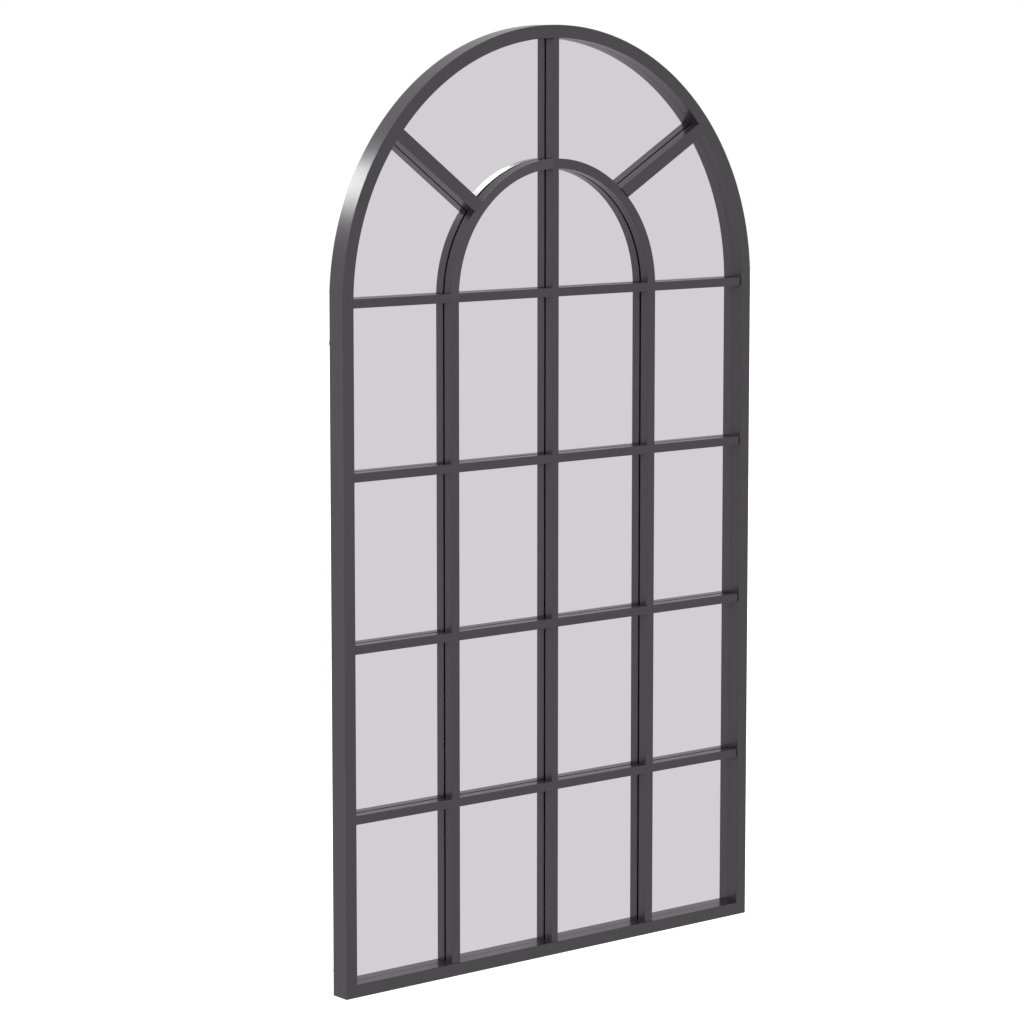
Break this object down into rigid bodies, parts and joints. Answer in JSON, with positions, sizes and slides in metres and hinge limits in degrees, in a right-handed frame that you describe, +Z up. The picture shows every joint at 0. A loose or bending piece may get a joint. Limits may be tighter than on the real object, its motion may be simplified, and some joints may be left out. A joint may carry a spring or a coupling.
{
  "type": "arched window mirror",
  "caption": "Tall arched wall mirror made like a window: hollow steel frame, glazing bars, inner arch and spokes over one mirror sheet, held from behind by clips and hung by rings.",
  "frame": {"origin": "on the wall plane, halfway across the mirror, level with the frame's bottom edge", "axes": "+X to the right for someone who looks into the mirror, +Y from the front to the wall, +Z up"},
  "size_m": [0.9, 0.044, 1.5999],
  "materials": {
    "powder_coat": "satin charcoal powder coat with a fine texture",
    "mirror": "silvered float glass",
    "hardboard": "plain pressed hardboard",
    "foam_tape": "matte black foam",
    "zinc_steel": "zinc plated",
    "nickel": "nickel plated wire",
    "bumper_rubber": "matte black rubber"
  },
  "bodies": {
    "frame": {"frame_arch": "powder_coat", "frame_bottom_rail": "powder_coat", "frame_stile_left": "powder_coat", "frame_stile_right": "powder_coat", "inner_arch_left": "powder_coat", "inner_arch_right": "powder_coat", "side_bar_left": "powder_coat", "side_bar_right": "powder_coat", "centre_bar": "powder_coat", "spoke_left": "powder_coat", "spoke_right": "powder_coat", "cross_bar_row1_outer_left": "powder_coat", "cross_bar_row1_inner_left": "powder_coat", "cross_bar_row1_inner_right": "powder_coat", "cross_bar_row1_outer_right": "powder_coat", "cross_bar_row2_outer_left": "powder_coat", "cross_bar_row2_inner_left": "powder_coat", "cross_bar_row2_inner_right": "powder_coat", "cross_bar_row2_outer_right": "powder_coat", "cross_bar_row3_outer_left": "powder_coat", "cross_bar_row3_inner_left": "powder_coat", "cross_bar_row3_inner_right": "powder_coat", "cross_bar_row3_outer_right": "powder_coat", "cross_bar_row4_outer_left": "powder_coat", "cross_bar_row4_inner_left": "powder_coat", "cross_bar_row4_inner_right": "powder_coat", "cross_bar_row4_outer_right": "powder_coat", "glazing_tape_centre_bar": "foam_tape", "glazing_tape_side_bar_left": "foam_tape", "glazing_tape_inner_arch_left": "foam_tape", "glazing_tape_spoke_left": "foam_tape", "glazing_tape_side_bar_right": "foam_tape", "glazing_tape_inner_arch_right": "foam_tape", "glazing_tape_spoke_right": "foam_tape", "glazing_tape_cross_bars_row1": "foam_tape", "glazing_tape_cross_bars_row2": "foam_tape", "glazing_tape_cross_bars_row3": "foam_tape", "glazing_tape_cross_bars_row4": "foam_tape", "back_clips": "zinc_steel", "back_clip_screws": "zinc_steel", "hanger_strap_left": "zinc_steel", "hanger_strap_right": "zinc_steel", "hanger_screws_left": "zinc_steel", "hanger_screws_right": "zinc_steel", "mirror_glass": "mirror", "backing_board": "hardboard", "wall_bumpers": "bumper_rubber"},
    "ring_left": {"hanger_ring_left": "nickel"},
    "ring_right": {"hanger_ring_right": "nickel"}
  },
  "joints": [
    {"name": "hanger_swing_left", "type": "hinge", "parent": "frame", "child": "ring_left", "pos_m": [-0.439, -0.0037, 1.09], "axis": [1, 0, 0], "range_deg": [0, 184]},
    {"name": "hanger_swing_right", "type": "hinge", "parent": "frame", "child": "ring_right", "pos_m": [0.439, -0.0037, 1.09], "axis": [1, 0, 0], "range_deg": [0, 184]}
  ]
}
